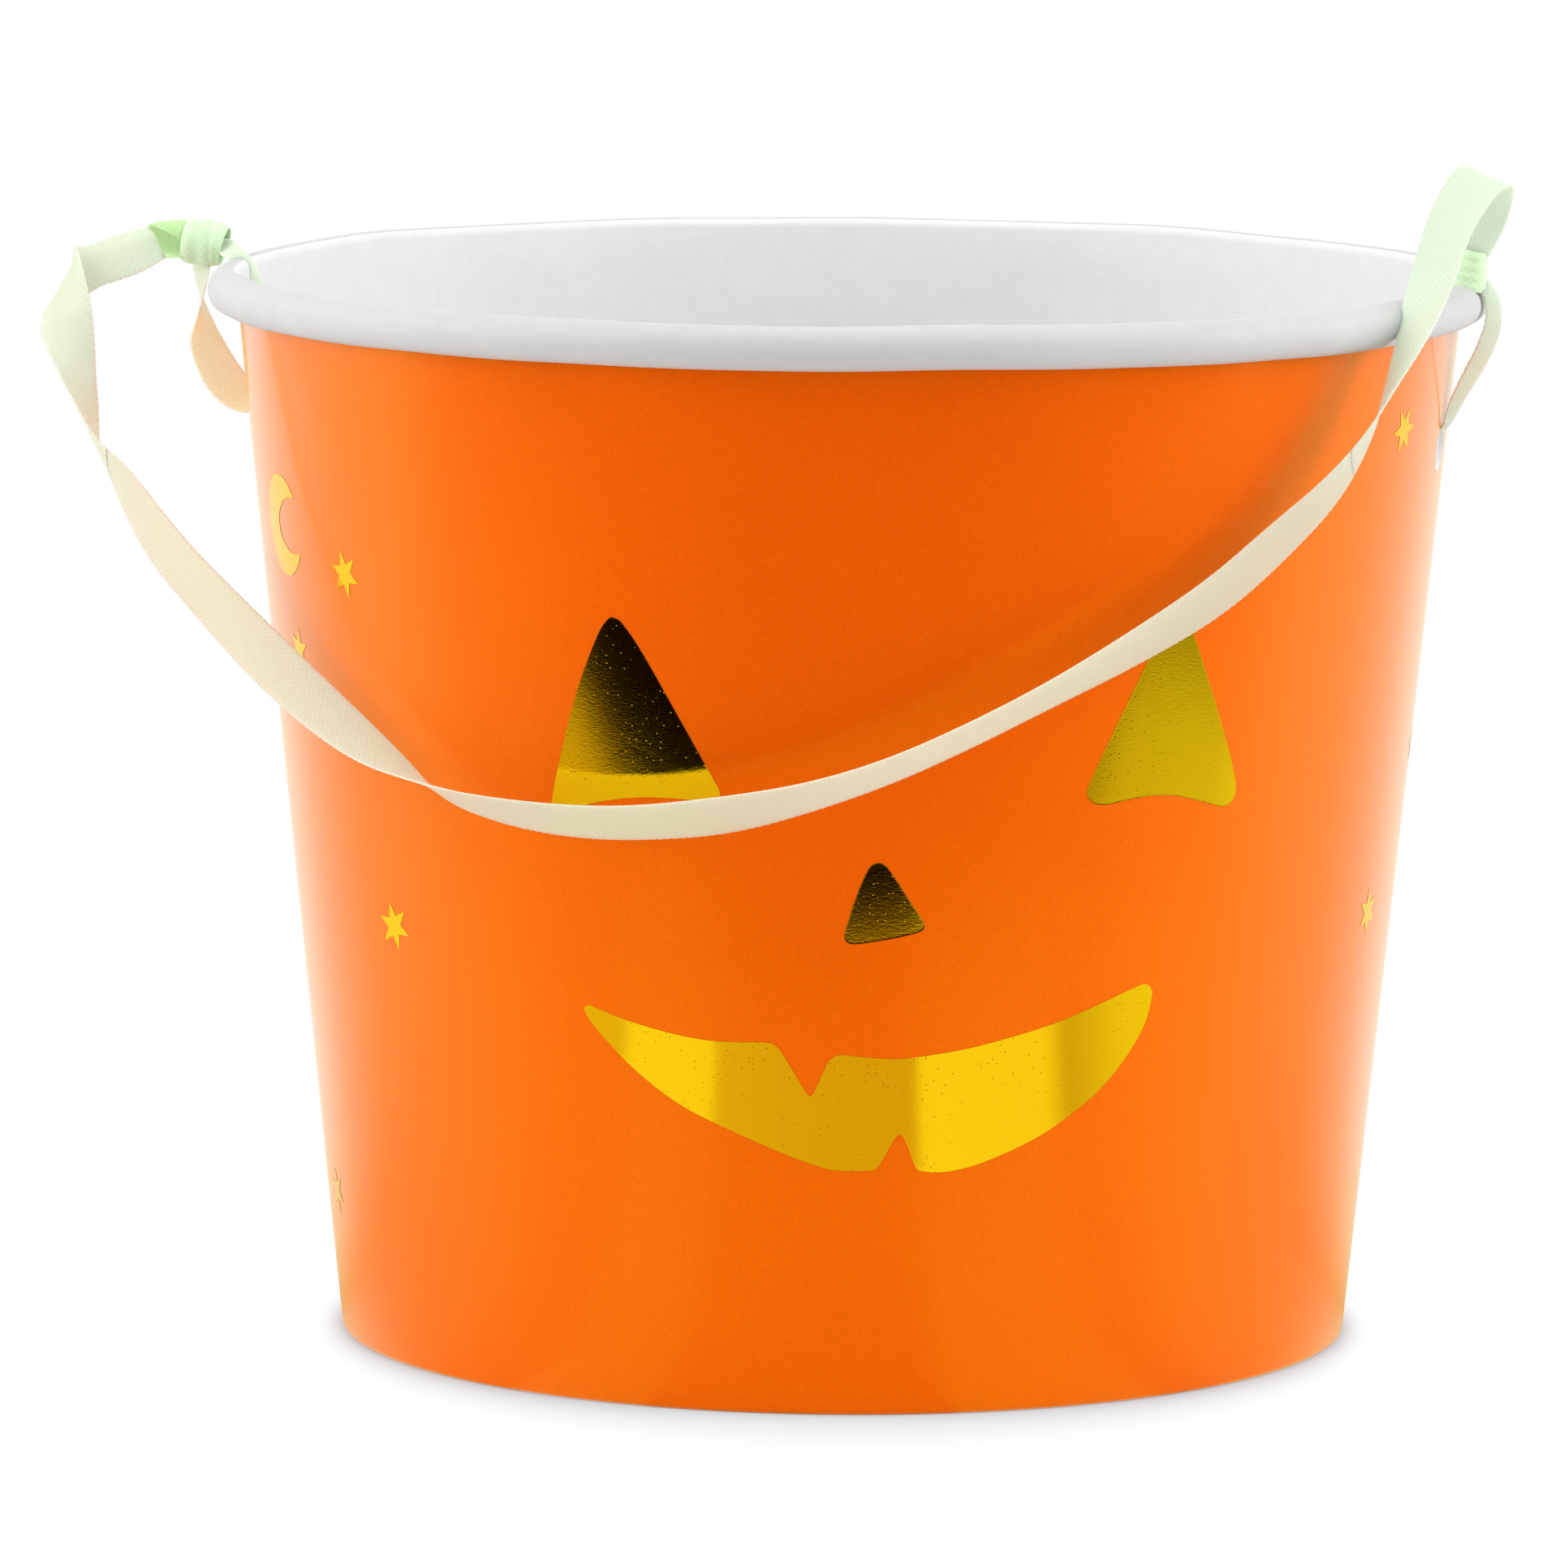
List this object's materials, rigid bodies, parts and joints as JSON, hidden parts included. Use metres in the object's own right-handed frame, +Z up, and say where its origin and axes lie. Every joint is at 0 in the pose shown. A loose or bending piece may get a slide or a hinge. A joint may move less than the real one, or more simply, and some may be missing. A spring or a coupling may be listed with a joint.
{
  "type": "treat pail",
  "caption": "Tapered paperboard treat pail with a rolled rim, foil pumpkin face and a ribbon handle tied through punched holes.",
  "frame": {"origin": "centre of the base, on the surface that the pail stands on", "axes": "+Z up along the pail's axis, +X through the right punched hole, -Y towards the front, where the handle hangs"},
  "size_m": [0.2082, 0.1807, 0.1669],
  "materials": {
    "printed_board": "gloss",
    "white_board": "satin",
    "gold_foil": "polished",
    "ribbon": "satin"
  },
  "bodies": {
    "pail": {"sidewall": "printed_board", "bottom_disc": "white_board", "left_eye_foil": "gold_foil", "right_eye_foil": "gold_foil", "nose_foil": "gold_foil", "mouth_foil": "gold_foil", "star_foils": "gold_foil", "moon_foils": "gold_foil", "left_tie_loop": "ribbon", "right_tie_loop": "ribbon", "left_knot": "ribbon", "right_knot": "ribbon"},
    "handle": {"left_ribbon_end": "ribbon", "handle_ribbon": "ribbon", "right_ribbon_end": "ribbon"}
  },
  "joints": [
    {"name": "handle_swing", "type": "hinge", "parent": "pail", "child": "handle", "pos_m": [0, 0, 0.1524], "axis": [-1, 0, 0], "range_deg": [0, 250], "deforming": ["left_ribbon_end", "right_ribbon_end"]}
  ]
}
